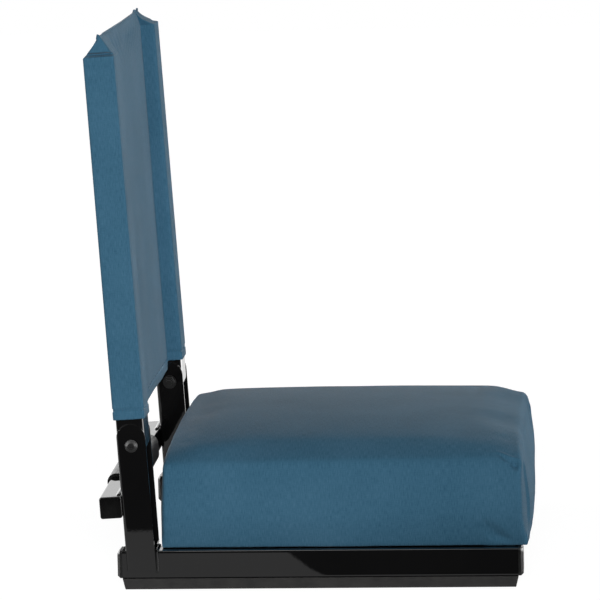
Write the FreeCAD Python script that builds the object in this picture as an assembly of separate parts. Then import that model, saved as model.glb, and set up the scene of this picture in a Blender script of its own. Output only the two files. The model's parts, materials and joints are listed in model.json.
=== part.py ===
import FreeCAD, Part
import math
import os

V = FreeCAD.Vector
ACROSS = V(1, 0, 0)
UP = V(0, 0, 1)
SIDES = {"left": 1, "right": -1}
FAR = 1000.0  # reach of a cutting block, past everything it has to cut

# Base frame, in millimetres
SEAT_SPAN = 400.0  # across the outer faces of the two uprights
RAIL_SIDE = 25.4
RAIL_LENGTH = 357.0
TUBE_WALL = 1.5
TUBE_CORNER = 2.2
CROSS_SIDE = 19.0
CROSS_FRONT_INSET = 42.0  # rail's front end to the front cross tube's middle
CROSS_REAR_INSET = 80.0  # rail's rear end to the rear cross tube's middle

# Runners and end caps
RUNNER_HEIGHT = 10.0
RUNNER_TAPER = 2.4
RUNNER_EDGE = 1.5
CAP_FLANGE = 4.5
CAP_CORNER = 3.6
CAP_EDGE = 2.2
PLUG_EDGE = 0.6
PLUG_INSERT = 14.0
PLUG_FIT = 0.1

# Uprights and hinge, angles in degrees
EAR_WALL = 2.5
EAR_DEPTH = 26.4
EAR_FIT = 0.3  # ear to post, on each side
EAR_RISE = 20.0  # pivot to the ear's rounded top
EAR_BEND = 3.0
EAR_LAP = 17.8  # how far the outer ear laps down over the rail
PIVOT_RISE = 96.6  # rail's top to the pivot
PIVOT_INSET = 11.3  # rail's rear end to the pivot
FOOT_PLATE = 3.0
STOP_FIT = 0.3  # post's heel to the web that stops it
LEAN = 3.2

# Pivot hardware
BOLT_DIAMETER = 6.0
BOLT_FIT = 0.15
BOLT_TAIL = 1.5
HEAD_DIAMETER = 11.5
HEAD_HEIGHT = 3.3
HEAD_RIM = 0.8
HEAD_CROWN = 6.4  # width of the flat on top of the head
SOCKET_WIDTH = 4.0
SOCKET_DEPTH = 2.0
WASHER_DIAMETER = 13.0
WASHER_HEIGHT = 1.2
NUT_WIDTH = 10.0
NUT_HEIGHT = 4.5
NUT_COLLAR = 1.6
NUT_COLLAR_DIAMETER = 8.8
BUSHING_DIAMETER = 9.5
BUSHING_FIT = 0.05

# Carry handle
HANDLE_SIDE = 20.0
HANDLE_DROP = 55.0  # pivot down to the bar's middle
HANDLE_PLUG = 2.0
GRIP_LENGTH = 202.0
GRIP_WALL = 3.4
GRIP_FIT = 0.1
GRIP_CORNER = 8.0

# Backrest frame
POST_WIDTH = 38.1
POST_DEPTH = 25.4
POST_RISE = 346.0  # pivot to the post's top
POST_PLUG = 3.0
BAR_HEIGHT = 25.4
BAR_DEPTH = 8.0
BAR_WALL = 1.2
BAR_CORNER = 2.0
BAR_LOW_RISE = 40.0  # hem to the lower bar's middle
BAR_HIGH_DROP = 30.0  # post's top to the upper bar's middle

# Backrest cover
CLOTH = 1.2
CLOTH_FIT = 0.5
HEM_GAP = 4.0  # ear's top to the hem
SHOULDER_GAP = 1.5  # post's plug to the cover's shoulder
RIDGE_RISE = 15.0  # shoulder to the sewn ridge
RIDGE_HALF = 0.9
SLEEVE_CORNER = 3.2
PANEL_SLOPE = 34.0  # length over which the panel comes forward to the ridge

# Seat cushion
SEAT_SIDE_INSET = 13.0  # upright's outer face to the cushion's side
SEAT_REAR_GAP = 11.0  # pivot ear's front to the cushion's rear corner
SEAT_GAP = 0.6
SIDE_TOP = 77.5  # cushion's bottom to the top of its side face
CROWN = 25.0
REAR_DROP = 5.0
FRONT_DROP = 3.0
FRONT_RISE = 3.5  # how far the sides climb towards the front
FRONT_BULGE = 10.0
REAR_BULGE = 3.0
BELLY = 4.5
SIDE_CORNER = 9.0
CROWN_CORNER = 10.0
SWELL_POWER = 0.55
STATIONS = (0.0, 0.03, 0.09, 0.2, 0.38, 0.66)  # places from the side (0) to the middle (1)
COVER_CLOTH = 1.0
COVER_FIT = 0.3
COVER_HEM = 30.0
BOARD_THICKNESS = 10.0

# Screws
SCREW_DIAMETER = 4.0
SCREW_HEAD = 8.0
SCREW_HEAD_HEIGHT = 2.5
SCREW_FIT = 0.15
SCREW_SINK = 3.5  # runner's underside to the screw head
SCREW_GRIP = 7.0  # how far a board screw goes into the board
RUNNER_SCREW_END = 35.0
RUNNER_SCREW_COUNT = 2
BOARD_SCREW_SPACING = 200.0

# Places that follow from the sizes above
rail_base = RUNNER_HEIGHT
rail_top = rail_base + RAIL_SIDE
rail_x = SEAT_SPAN / 2 - EAR_WALL - RAIL_SIDE / 2
rail_end = RAIL_LENGTH / 2
pivot_y = rail_end - PIVOT_INSET
pivot_z = rail_top + PIVOT_RISE
post_x = SEAT_SPAN / 2 - EAR_WALL - EAR_FIT - POST_WIDTH / 2
channel_width = POST_WIDTH + 2 * EAR_FIT + 2 * EAR_WALL
heel = POST_DEPTH / 2
hem = EAR_RISE + HEM_GAP
shoulder = POST_RISE + POST_PLUG + SHOULDER_GAP
ridge = shoulder + RIDGE_RISE
sleeve_half_width = POST_WIDTH / 2 + CLOTH_FIT + CLOTH
sleeve_half_depth = POST_DEPTH / 2 + CLOTH_FIT + CLOTH
panel_front = heel - BAR_DEPTH - CLOTH_FIT - CLOTH
panel_half_width = post_x - sleeve_half_width
bar_levels = {"lower": hem + BAR_LOW_RISE, "upper": POST_RISE - BAR_HIGH_DROP}
cross_levels = {"front": -rail_end + CROSS_FRONT_INSET, "rear": rail_end - CROSS_REAR_INSET}
seat_half = SEAT_SPAN / 2 - SEAT_SIDE_INSET
seat_base = rail_top + SEAT_GAP
seat_rear = pivot_y - EAR_DEPTH / 2 - SEAT_REAR_GAP
seat_front = -rail_end - CAP_FLANGE
board_base = seat_base + COVER_CLOTH + COVER_FIT
board_top = board_base + BOARD_THICKNESS

# The origin is midway between the foremost and rearmost points
lean_sin = math.sin(math.radians(LEAN))
lean_cos = math.cos(math.radians(LEAN))
grip_half = HANDLE_SIDE / 2 + GRIP_FIT + GRIP_WALL
handle_back = EAR_DEPTH / 2 + HANDLE_SIDE / 2
cover_reach = sleeve_half_depth * lean_cos + shoulder * lean_sin
grip_reach = (handle_back * lean_cos - HANDLE_DROP * lean_sin + GRIP_CORNER
              + (grip_half - GRIP_CORNER) * (lean_cos + lean_sin))
rear_reach = pivot_y + max(cover_reach, grip_reach)
front_reach = seat_front - FRONT_BULGE
origin_y = (rear_reach + front_reach) / 2


def at_pivot(x, back, rise):
    """Point given from the hinge axis, before the back is leaned."""
    return V(x, pivot_y + back, pivot_z + rise)


def leaned(shape):
    """The shape turned back about the hinge axis by the lean of the backrest."""
    shape.rotate(at_pivot(0, 0, 0), ACROSS, -LEAN)
    return shape


def block(low, high):
    """Box between two corners."""
    return Part.makeBox(high.x - low.x, high.y - low.y, high.z - low.z, low)


def rounded_rectangle(centre, half_u, half_v, radius):
    """Wire of a rectangle with round corners, from its two half-side vectors."""
    u = V(half_u).normalize()
    v = V(half_v).normalize()
    ways = [u, v, -u, -v]
    arcs = []
    for k, (a, b) in enumerate([(1, 1), (-1, 1), (-1, -1), (1, -1)]):
        first, last = ways[k], ways[(k + 1) % 4]
        hub = centre + (half_u - u * radius) * a + (half_v - v * radius) * b
        middle = hub + (first + last) * (radius / math.sqrt(2))
        arcs.append((hub + first * radius, middle, hub + last * radius))
    edges = []
    for k, arc in enumerate(arcs):
        edges.append(Part.Arc(*arc).toShape())
        edges.append(Part.LineSegment(arc[2], arcs[(k + 1) % 4][0]).toShape())
    return Part.Wire(edges)


def bar(centre, half_u, half_v, corner, run):
    """Solid bar of rounded rectangular section, from one end along run."""
    return Part.Face(rounded_rectangle(centre, half_u, half_v, corner)).extrude(run)


def square_bar(centre, half_u, half_v, inset, run):
    """Solid bar of rectangular section, drawn in by inset, from one end along run."""
    u = half_u - V(half_u).normalize() * inset
    v = half_v - V(half_v).normalize() * inset
    corners = [centre + u + v, centre - u + v, centre - u - v, centre + u - v]
    return Part.Face(Part.makePolygon(corners + corners[:1])).extrude(run)


def tube(centre, half_u, half_v, corner, wall, run):
    """Rectangular tube, round outside and square inside, from one end along run."""
    return bar(centre, half_u, half_v, corner, run).cut(square_bar(centre, half_u, half_v, wall, run))


def plug(centre, half_u, half_v, wall, flange, corner, edge, outward):
    """Plastic tube plug: a flange with an eased rim outside and a hollow insert inside the tube."""
    head = bar(centre, half_u, half_v, corner, outward * flange)
    rim = [e for e in head.Edges if all(abs((v.Point - centre).dot(outward) - flange) < 1e-6
                                        for v in e.Vertexes)]
    head = head.makeChamfer(edge, rim)
    run = outward * -PLUG_INSERT
    insert = square_bar(centre, half_u, half_v, wall + PLUG_FIT, run)
    return head.fuse(insert.cut(square_bar(centre, half_u, half_v, 2 * wall + PLUG_FIT, run)))


def prism_across(points, x_from, x_to):
    """Solid from a (y, z) outline, run across the seat."""
    corners = [V(x_from, y, z) for y, z in points]
    face = Part.Face(Part.makePolygon(corners + corners[:1]))
    return face.extrude(ACROSS * (x_to - x_from))


def hexagon(width, centre, run):
    """Hexagonal prism of the given width across flats, along run."""
    turn = FreeCAD.Rotation(UP, run)
    radius = width / math.sqrt(3)
    angles = [math.radians(60 * k + 30) for k in range(6)]
    points = [centre + turn * V(radius * math.cos(a), radius * math.sin(a), 0) for a in angles]
    return Part.Face(Part.makePolygon(points + points[:1])).extrude(run)


def runner_screw_places(side):
    """Points on the floor plane below the runner's screws."""
    first = -rail_end + RUNNER_SCREW_END
    step = (RAIL_LENGTH - 2 * RUNNER_SCREW_END) / (RUNNER_SCREW_COUNT - 1)
    return [V(side * rail_x, first + k * step, 0) for k in range(RUNNER_SCREW_COUNT)]


def board_screw_places():
    """Points on the underside of the cross tubes where the board is screwed on."""
    half = BOARD_SCREW_SPACING / 2
    return [V(x, y, rail_top - CROSS_SIDE) for y in cross_levels.values() for x in (-half, half)]


def screw_hole(place, length):
    """Clearance hole for a screw, upward from a point."""
    return Part.makeCylinder(SCREW_DIAMETER / 2 + SCREW_FIT, length, place)


def make_rail(side):
    start = V(side * rail_x, -rail_end, rail_base + RAIL_SIDE / 2)
    half = RAIL_SIDE / 2
    rail = tube(start, ACROSS * half, UP * half, TUBE_CORNER, TUBE_WALL, V(0, RAIL_LENGTH, 0))
    for place in runner_screw_places(side):
        rail = rail.cut(screw_hole(place, rail_base + 2 * TUBE_WALL))
    return rail


def make_rail_cap(side, end):
    half = RAIL_SIDE / 2
    centre = V(side * rail_x, end * rail_end, rail_base + half)
    return plug(centre, ACROSS * half, UP * half, TUBE_WALL, CAP_FLANGE, CAP_CORNER, CAP_EDGE, V(0, end, 0))


def make_runner(side):
    half = RAIL_SIDE / 2
    foot = rail_end - RUNNER_TAPER
    outline = [(-rail_end, rail_base), (-foot, 0), (foot, 0), (rail_end, rail_base)]
    runner = prism_across(outline, side * rail_x - half, side * rail_x + half)
    long_edges = [e for e in runner.Edges if e.BoundBox.ZMax < RUNNER_EDGE and e.BoundBox.YLength > RAIL_SIDE]
    runner = runner.makeChamfer(RUNNER_EDGE, long_edges)
    for place in runner_screw_places(side):
        sink = Part.makeCylinder(SCREW_HEAD / 2 + SCREW_FIT, SCREW_SINK + SCREW_HEAD_HEIGHT, place)
        runner = runner.cut(sink.fuse(screw_hole(place, rail_base)))
    return runner


def make_screw(head, seat, length):
    """Screw with its shank upward from the middle of the head's seat."""
    return head.fuse(Part.makeCylinder(SCREW_DIAMETER / 2, length, seat))


def make_runner_screws():
    """Pan-head screws through the runners into the rails."""
    rise = SCREW_SINK + SCREW_HEAD_HEIGHT
    screws = []
    for place in [p for side in SIDES.values() for p in runner_screw_places(side)]:
        head = Part.makeCylinder(SCREW_HEAD / 2, SCREW_HEAD_HEIGHT, place + UP * SCREW_SINK)
        screws.append(make_screw(head, place + UP * rise, rail_base + 2 * TUBE_WALL - rise))
    return Part.makeCompound(screws)


def make_board_screws():
    """Hexagon-head screws through the cross tubes into the board."""
    length = board_base + SCREW_GRIP - (rail_top - CROSS_SIDE)
    screws = []
    for place in board_screw_places():
        head = hexagon(SCREW_HEAD, place, UP * -SCREW_HEAD_HEIGHT)
        screws.append(make_screw(head, place, length))
    return Part.makeCompound(screws)


def make_cross_tube(level):
    half = CROSS_SIDE / 2
    reach = rail_x - RAIL_SIDE / 2
    start = V(-reach, level, rail_top - half)
    cross = tube(start, V(0, half, 0), UP * half, TUBE_CORNER, TUBE_WALL, ACROSS * (2 * reach))
    for place in board_screw_places():
        cross = cross.cut(screw_hole(place, CROSS_SIDE))
    return cross


def channel_outline(side, base):
    """Outer outline of the channel seen from above, round at its two rear bends."""
    half_x = channel_width / 2
    back = EAR_DEPTH / 2
    turn = EAR_BEND * (1 - 1 / math.sqrt(2))
    place = [at_pivot(side * post_x + x, y, base) for x, y in [
        (-half_x, -back), (-half_x, back - EAR_BEND), (-half_x + turn, back - turn), (-half_x + EAR_BEND, back),
        (half_x - EAR_BEND, back), (half_x - turn, back - turn), (half_x, back - EAR_BEND), (half_x, -back)]]
    return Part.Wire([
        Part.LineSegment(place[0], place[1]).toShape(),
        Part.Arc(place[1], place[2], place[3]).toShape(),
        Part.LineSegment(place[3], place[4]).toShape(),
        Part.Arc(place[4], place[5], place[6]).toShape(),
        Part.LineSegment(place[6], place[7]).toShape(),
        Part.LineSegment(place[7], place[0]).toShape()])


def ear_profile(side, base):
    """Side view of the upright with its rounded top, as a solid across the channel."""
    back = EAR_DEPTH / 2
    x = side * post_x - channel_width
    spring = EAR_RISE - back
    left, right = at_pivot(x, -back, spring), at_pivot(x, back, spring)
    outline = Part.Wire([
        Part.Arc(left, at_pivot(x, 0, EAR_RISE), right).toShape(),
        Part.LineSegment(right, at_pivot(x, back, base)).toShape(),
        Part.LineSegment(at_pivot(x, back, base), at_pivot(x, -back, base)).toShape(),
        Part.LineSegment(at_pivot(x, -back, base), left).toShape()])
    return Part.Face(outline).extrude(ACROSS * (2 * channel_width))


def make_upright(side):
    """U-channel: a rear web that stops the post's heel, and two ears that take the pivot bolt."""
    base = -PIVOT_RISE - RAIL_SIDE
    channel = Part.Face(channel_outline(side, base)).extrude(UP * (EAR_RISE - base))
    inner = channel_width / 2 - EAR_WALL
    web_front = EAR_DEPTH / 2 - EAR_WALL
    web_top = -heel - STOP_FIT
    middle = side * post_x
    channel = channel.cut(block(at_pivot(middle - inner, -EAR_DEPTH, base),
                                at_pivot(middle + inner, web_front, EAR_RISE)))
    channel = channel.cut(block(at_pivot(middle - inner, -EAR_DEPTH, web_top),
                                at_pivot(middle + inner, EAR_DEPTH, EAR_RISE)))
    channel = leaned(channel.common(ear_profile(side, base)))
    channel = channel.cut(pivot_hole(BOLT_DIAMETER / 2 + BOLT_FIT))
    lap = SEAT_SPAN / 2 - EAR_WALL
    foot = rail_top + FOOT_PLATE
    channel = channel.cut(block(V(-lap, -FAR, -FAR), V(lap, FAR, foot)))
    return channel.cut(block(V(-FAR, -FAR, -FAR), V(FAR, FAR, rail_top - EAR_LAP)))


def pivot_hole(radius):
    """Cylinder along the hinge axis, right across the seat."""
    return Part.makeCylinder(radius, SEAT_SPAN + FAR, at_pivot(-(SEAT_SPAN + FAR) / 2, 0, 0), ACROSS)


def make_upright_foot(side):
    """Plate that closes the channel where it stands on the rail."""
    inner = post_x - channel_width / 2
    outer = SEAT_SPAN / 2 - EAR_WALL
    middle = pivot_y - PIVOT_RISE * math.tan(math.radians(LEAN))
    half = EAR_DEPTH / 2
    low_x, high_x = sorted((side * inner, side * outer))
    return block(V(low_x, middle - half, rail_top), V(high_x, middle + half, rail_top + FOOT_PLATE))


def along_hinge(radius, side, x_from, x_to):
    """Cylinder on the hinge axis between two distances from the seat's middle."""
    return Part.makeCylinder(radius, x_to - x_from, at_pivot(side * x_from, 0, 0), ACROSS * side)


ear_outside = SEAT_SPAN / 2
ear_inside = ear_outside - channel_width
washer_inside = ear_inside - WASHER_HEIGHT
nut_inside = washer_inside - NUT_HEIGHT - NUT_COLLAR


def make_pivot_bolt(side):
    shank = along_hinge(BOLT_DIAMETER / 2, side, nut_inside - BOLT_TAIL, ear_outside)
    profile = [(0, 0), (0, HEAD_DIAMETER / 2), (HEAD_RIM, HEAD_DIAMETER / 2),
               (HEAD_HEIGHT, HEAD_CROWN / 2), (HEAD_HEIGHT, 0)]
    points = [at_pivot(side * (ear_outside + out), reach, 0) for out, reach in profile]
    head = Part.Face(Part.makePolygon(points + points[:1])).revolve(at_pivot(0, 0, 0), ACROSS, 360)
    floor = ear_outside + HEAD_HEIGHT - SOCKET_DEPTH
    socket = hexagon(SOCKET_WIDTH, at_pivot(side * floor, 0, 0), ACROSS * (side * HEAD_HEIGHT))
    return shank.fuse(head).cut(socket)


def make_pivot_washer(side):
    ring = along_hinge(WASHER_DIAMETER / 2, side, washer_inside, ear_inside)
    return ring.cut(pivot_hole(BOLT_DIAMETER / 2 + BOLT_FIT))


def make_pivot_nut(side):
    body = hexagon(NUT_WIDTH, at_pivot(side * (washer_inside - NUT_HEIGHT), 0, 0), ACROSS * (side * NUT_HEIGHT))
    collar = along_hinge(NUT_COLLAR_DIAMETER / 2, side, nut_inside, washer_inside - NUT_HEIGHT)
    return body.fuse(collar).cut(pivot_hole(BOLT_DIAMETER / 2 + PLUG_FIT))


def make_pivot_bushing(side):
    """Spacer tube between the ears, on which the post turns."""
    half = POST_WIDTH / 2 + EAR_FIT
    spacer = along_hinge(BUSHING_DIAMETER / 2, side, post_x - half, post_x + half)
    return spacer.cut(pivot_hole(BOLT_DIAMETER / 2 + BOLT_FIT))


def handle_start(side, x):
    return at_pivot(side * x, handle_back, -HANDLE_DROP)


def make_handle_bar():
    half = HANDLE_SIDE / 2
    reach = SEAT_SPAN / 2 - HANDLE_PLUG
    start = handle_start(-1, reach)
    return leaned(tube(start, V(0, half, 0), UP * half, TUBE_CORNER, TUBE_WALL, ACROSS * (2 * reach)))


def make_handle_plug(side):
    half = HANDLE_SIDE / 2
    start = handle_start(side, SEAT_SPAN / 2 - HANDLE_PLUG)
    return leaned(plug(start, V(0, half, 0), UP * half, TUBE_WALL, HANDLE_PLUG, TUBE_CORNER,
                       PLUG_EDGE, ACROSS * side))


def make_handle_grip():
    bore = HANDLE_SIDE / 2 + GRIP_FIT
    start = handle_start(-1, GRIP_LENGTH / 2)
    run = ACROSS * GRIP_LENGTH
    sleeve = bar(start, V(0, grip_half, 0), UP * grip_half, GRIP_CORNER, run)
    return leaned(sleeve.cut(bar(start, V(0, bore, 0), UP * bore, TUBE_CORNER, run)))


def make_post(side):
    """Rectangular tube whose lower end is round in front, to fold, and square behind, to stop."""
    start = at_pivot(side * post_x, 0, -heel)
    rise = UP * (POST_RISE + heel)
    post = tube(start, ACROSS * (POST_WIDTH / 2), V(0, heel, 0), TUBE_CORNER, TUBE_WALL, rise)
    toe = block(at_pivot(side * post_x - POST_WIDTH, -POST_DEPTH, -POST_DEPTH),
                at_pivot(side * post_x + POST_WIDTH, 0, 0))
    post = post.cut(toe.cut(pivot_hole(heel)))
    return leaned(post.cut(pivot_hole(BUSHING_DIAMETER / 2 + BUSHING_FIT)))


def make_post_plug(side):
    start = at_pivot(side * post_x, 0, POST_RISE)
    return leaned(plug(start, ACROSS * (POST_WIDTH / 2), V(0, heel, 0), TUBE_WALL, POST_PLUG,
                       TUBE_CORNER, PLUG_EDGE, UP))


def back_bar(level, grow, reach):
    """Space of a cross bar between the posts, grown by a margin."""
    start = at_pivot(-reach, heel - BAR_DEPTH / 2, level)
    half_deep, half_high = BAR_DEPTH / 2 + grow, BAR_HEIGHT / 2 + grow
    return start, V(0, half_deep, 0), UP * half_high, ACROSS * (2 * reach)


def make_back_bar(level):
    start, deep, high, run = back_bar(level, 0, post_x - POST_WIDTH / 2)
    return leaned(tube(start, deep, high, BAR_CORNER, BAR_WALL, run))


def cover_hollow():
    """Room inside the backrest cover for the posts, their plugs and the cross bars."""
    top = POST_RISE + POST_PLUG + CLOTH_FIT
    half_x, half_y = POST_WIDTH / 2 + CLOTH_FIT, heel + CLOTH_FIT
    hollow = block(at_pivot(-post_x, panel_front + CLOTH, 0), at_pivot(post_x, half_y, top))
    for side in SIDES.values():
        start = at_pivot(side * post_x, 0, 0)
        hollow = hollow.fuse(bar(start, ACROSS * half_x, V(0, half_y, 0), TUBE_CORNER, UP * top))
    return hollow


def make_back_sleeve(side):
    """Sewn sleeve round one post, drawn together in a ridge at the top."""
    deep = sleeve_half_depth
    x = side * post_x
    sleeve = bar(at_pivot(x, 0, hem), ACROSS * sleeve_half_width, V(0, deep, 0), SLEEVE_CORNER,
                 UP * (ridge - hem))
    gable = [(-deep, hem), (deep, hem), (deep, shoulder), (RIDGE_HALF, ridge), (-RIDGE_HALF, ridge),
             (-deep, shoulder)]
    roof = prism_across([(pivot_y + y, pivot_z + z) for y, z in gable], x - POST_WIDTH, x + POST_WIDTH)
    return leaned(sleeve.common(roof).cut(cover_hollow()))


def make_back_panel():
    """Cloth between the sleeves, set back behind the posts' fronts and sewn into the same ridge."""
    deep = sleeve_half_depth
    outline = [(panel_front, hem), (deep, hem), (deep, shoulder), (RIDGE_HALF, ridge),
               (-RIDGE_HALF, ridge), (panel_front, ridge - PANEL_SLOPE)]
    panel = prism_across([(pivot_y + y, pivot_z + z) for y, z in outline], -panel_half_width, panel_half_width)
    return leaned(panel.cut(cover_hollow()))


def swell(place):
    """How full the cushion is, from 0 at its side to 1 at its middle."""
    return (1 - (1 - place) ** 2) ** SWELL_POWER


def cushion_section(x, place, inset):
    """Side view of the cushion at one distance from its side, drawn in all round by inset."""
    full = swell(place)
    low = seat_base + inset
    top = seat_base + SIDE_TOP + CROWN * full - inset
    rear = seat_rear + REAR_BULGE * full - inset
    front = seat_front - FRONT_BULGE * full + inset
    corner = SIDE_CORNER + CROWN_CORNER * full
    bend = corner * (1 - 1 / math.sqrt(2))
    rear_top, front_top = top - REAR_DROP, top - FRONT_DROP * full + FRONT_RISE * (1 - full)
    rear_face, front_face = rear - BELLY, front + BELLY
    spots = [(rear_face, low), (rear, (low + rear_top - corner) / 2), (rear_face, rear_top - corner),
             (rear_face - bend, rear_top - bend), (rear_face - corner, rear_top), ((rear + front) / 2, top),
             (front_face + corner, front_top), (front_face + bend, front_top - bend),
             (front_face, front_top - corner), (front, (low + front_top - corner) / 2), (front_face, low)]
    points = [V(x, y, z) for y, z in spots]
    edges = [Part.Arc(*points[k:k + 3]).toShape() for k in range(0, 10, 2)]
    edges.append(Part.LineSegment(points[-1], points[0]).toShape())
    return Part.Wire(edges)


def cushion(inset):
    """Crowned cushion with a full front, lofted across the seat."""
    half = seat_half - inset
    places = list(STATIONS) + [1.0]
    sections = [cushion_section(-half * (1 - p), p, inset) for p in places]
    sections += [cushion_section(half * (1 - p), p, inset) for p in reversed(STATIONS)]
    return Part.makeLoft(sections, True, True)


def make_seat_cover():
    skin = cushion(0).cut(cushion(COVER_CLOTH))
    reach = seat_half - COVER_HEM
    window = block(V(-reach, seat_front + COVER_HEM, seat_base - COVER_CLOTH),
                   V(reach, seat_rear - COVER_HEM, board_base))
    return skin.cut(window)


def make_seat_board():
    slab = block(V(-FAR, -FAR, board_base), V(FAR, FAR, board_top))
    board = cushion(COVER_CLOTH + COVER_FIT).common(slab)
    for place in board_screw_places():
        board = board.cut(screw_hole(V(place.x, place.y, board_base), SCREW_GRIP + SCREW_FIT))
    return board


def make_seat_foam():
    above = block(V(-FAR, -FAR, board_top), V(FAR, FAR, FAR))
    return cushion(COVER_CLOTH + COVER_FIT).common(above)


def build():
    parts = {
        "runner_screws": make_runner_screws(),
        "board_screws": make_board_screws(),
        "handle_bar": make_handle_bar(),
        "handle_grip": make_handle_grip(),
        "seat_board": make_seat_board(),
        "seat_foam": make_seat_foam(),
        "seat_cover": make_seat_cover(),
        "back_panel": make_back_panel(),
    }
    for name, level in cross_levels.items():
        parts[name + "_cross_tube"] = make_cross_tube(level)
    for name, level in bar_levels.items():
        parts["back_bar_" + name] = make_back_bar(level)
    pairs = {
        "rail": make_rail, "runner": make_runner, "upright": make_upright, "upright_foot": make_upright_foot,
        "handle_plug": make_handle_plug, "pivot_bolt": make_pivot_bolt, "pivot_washer": make_pivot_washer,
        "pivot_nut": make_pivot_nut, "pivot_bushing": make_pivot_bushing, "post": make_post,
        "post_plug": make_post_plug, "back_sleeve": make_back_sleeve,
    }
    for word, side in SIDES.items():
        for name, make in pairs.items():
            parts[name + "_" + word] = make(side)
        for end_word, end in (("front", -1), ("rear", 1)):
            parts["rail_cap_" + end_word + "_" + word] = make_rail_cap(side, end)
    return parts


def main():
    os.makedirs("parts", exist_ok=True)
    for name, shape in build().items():
        shape.translate(V(0, -origin_y, 0))
        shape.exportStep("parts/" + name + ".step")
        box = shape.BoundBox
        print(f"{name:24s} solids {len(shape.Solids)} valid {shape.isValid()} volume {shape.Volume:10.1f}"
              f"  y {box.YMin:7.1f} {box.YMax:7.1f}  z {box.ZMin:6.1f} {box.ZMax:6.1f}")
    print("hinge at y", round(pivot_y - origin_y, 3), "z", round(pivot_z, 3))


main()
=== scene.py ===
# %% [markdown]
# A folding stadium seat, dressed for a portrait
# The seat has a black steel frame, a foam cushion wrapped in blue cloth and a cloth cover that is
# pulled over two hinged posts. The CAD frame is exact, so it is loaded first and never moved.
# Everything soft, and every finish, is made here in the same frame and in metres.

# %% Load the frame
import json
import math

import bmesh
import bpy
from mathutils import Matrix, Vector, noise
from mathutils.kdtree import KDTree

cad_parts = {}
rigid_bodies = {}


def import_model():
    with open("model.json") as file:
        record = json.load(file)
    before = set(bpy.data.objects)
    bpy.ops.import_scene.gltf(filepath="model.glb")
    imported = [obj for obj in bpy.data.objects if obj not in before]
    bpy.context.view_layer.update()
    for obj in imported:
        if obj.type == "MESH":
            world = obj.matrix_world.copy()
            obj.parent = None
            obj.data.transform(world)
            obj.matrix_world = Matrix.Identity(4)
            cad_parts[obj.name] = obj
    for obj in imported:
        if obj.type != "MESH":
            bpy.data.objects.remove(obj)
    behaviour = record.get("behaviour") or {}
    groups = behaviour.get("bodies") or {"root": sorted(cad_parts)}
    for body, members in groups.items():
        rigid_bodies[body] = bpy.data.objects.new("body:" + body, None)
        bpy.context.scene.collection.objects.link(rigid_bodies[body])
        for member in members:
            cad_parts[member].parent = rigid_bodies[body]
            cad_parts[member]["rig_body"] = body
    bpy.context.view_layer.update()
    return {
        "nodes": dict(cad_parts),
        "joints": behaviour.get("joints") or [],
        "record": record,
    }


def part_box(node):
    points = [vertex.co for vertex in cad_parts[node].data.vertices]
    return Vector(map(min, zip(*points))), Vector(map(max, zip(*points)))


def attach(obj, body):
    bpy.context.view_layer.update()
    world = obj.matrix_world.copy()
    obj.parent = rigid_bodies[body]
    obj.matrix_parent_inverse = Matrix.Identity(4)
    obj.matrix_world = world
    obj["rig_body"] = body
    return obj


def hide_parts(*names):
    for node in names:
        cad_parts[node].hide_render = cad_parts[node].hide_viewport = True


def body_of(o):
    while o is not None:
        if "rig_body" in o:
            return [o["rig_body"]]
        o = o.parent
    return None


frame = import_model()
scene = bpy.context.scene
scene.view_settings.view_transform = "Standard"

# %% [markdown]
# The backrest leans back a little about its hinge, so its pieces are easiest to draw upright and
# then lean. A point of the backrest is given by x across, back behind the hinge and rise above it.

# %% The leaning hinge frame
MM = 0.001
LEAN = math.radians(3.2)
hinge = Vector(frame["joints"][0]["pos_m"])
lean_turn = Matrix.Translation(hinge) @ Matrix.Rotation(-LEAN, 4, "X")


def at_hinge(x, back, rise):
    """A point of the leaning backrest, in the frame of the whole seat."""
    return lean_turn @ Vector((x, back, rise))


print("hinge at", [round(v, 4) for v in hinge])

# %% [markdown]
# The photograph was taken from the seat's right, far away with a long lens, a little from the front
# and above. A long lens keeps the near and far sides almost the same size.

# %% Camera
VIEW_YAW = math.radians(4.027)
VIEW_PITCH = math.radians(8.164)
VIEW_ROLL = math.radians(1.221)
VIEW_DISTANCE = 4.0918
VIEW_TARGET = Vector((0, 22.59 * MM, 234.03 * MM))
FOCAL_PIXELS = 4365.4
PICTURE_PIXELS = 600

forward = Vector((math.cos(VIEW_YAW) * math.cos(VIEW_PITCH),
                  math.sin(VIEW_YAW) * math.cos(VIEW_PITCH), -math.sin(VIEW_PITCH)))
level_right = Vector((math.sin(VIEW_YAW), -math.cos(VIEW_YAW), 0))
level_up = level_right.cross(forward)
view_right = level_right * math.cos(VIEW_ROLL) - level_up * math.sin(VIEW_ROLL)
view_up = level_right * math.sin(VIEW_ROLL) + level_up * math.cos(VIEW_ROLL)

camera_data = bpy.data.cameras.new("portrait_camera")
camera_data.lens = camera_data.sensor_width * FOCAL_PIXELS / PICTURE_PIXELS
camera = bpy.data.objects.new("portrait_camera", camera_data)
scene.collection.objects.link(camera)
turn = Matrix((view_right, view_up, -forward)).transposed()
camera.matrix_world = Matrix.Translation(VIEW_TARGET - forward * VIEW_DISTANCE) @ turn.to_4x4()
scene.camera = camera
print("camera at", [round(v, 3) for v in camera.matrix_world.translation])
print("lens", round(camera_data.lens, 1), "mm")

# %% [markdown]
# Every finish is one node tree round a Principled shader. A small helper makes the shader, sets the
# values that are the same all over, and gives back what the finish needs to add its own pattern.


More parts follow.
